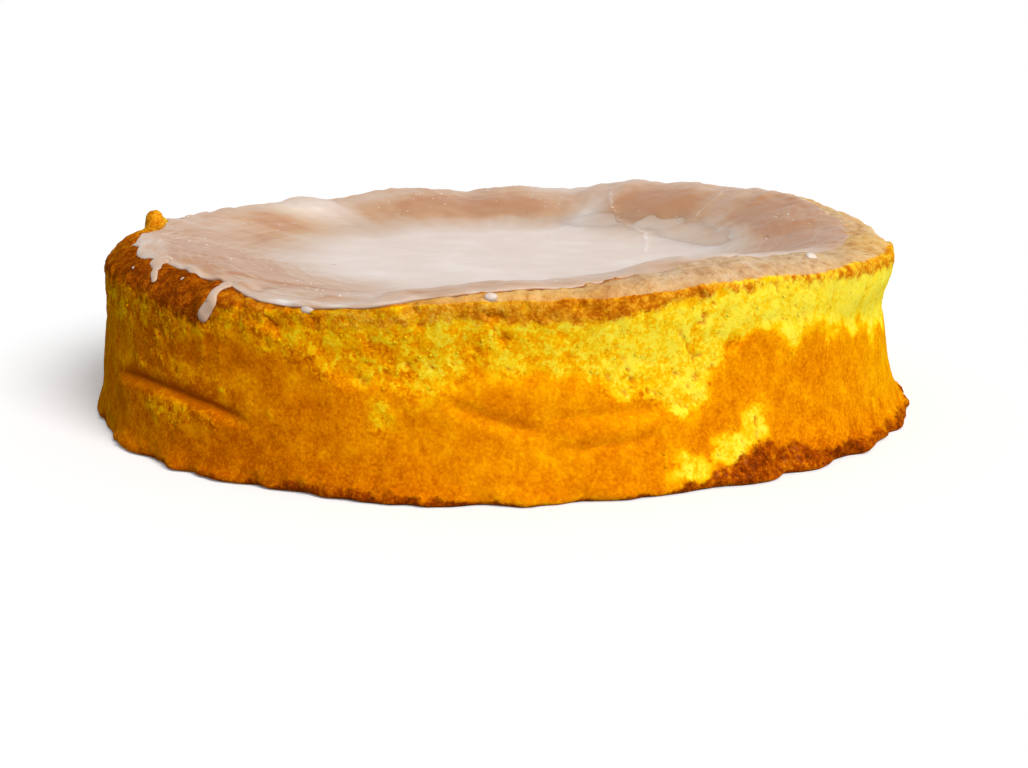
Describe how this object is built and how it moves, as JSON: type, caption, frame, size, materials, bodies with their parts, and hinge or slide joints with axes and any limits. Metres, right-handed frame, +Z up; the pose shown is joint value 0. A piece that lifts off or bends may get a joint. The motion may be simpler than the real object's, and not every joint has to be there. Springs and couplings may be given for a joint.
{
  "type": "glazed sponge cake",
  "caption": "Low round sponge cake with a browned rim and foot and a sunken top under a thin sugar glaze that drips over the edge.",
  "frame": {"origin": "centre of the cake's bounding box at the bottom, on the surface the cake stands on", "axes": "+Z up out of the top; -Y towards the front, the low side of the rim where the glaze runs over; +X to the right, seen from the front"},
  "size_m": [0.2422, 0.2378, 0.0552],
  "materials": {
    "sponge": "matt open crumb, browned at the rim and foot",
    "glaze": "satin, milky sugar glaze"
  },
  "bodies": {
    "root": {"sponge": "sponge", "glaze": "glaze"}
  },
  "joints": []
}
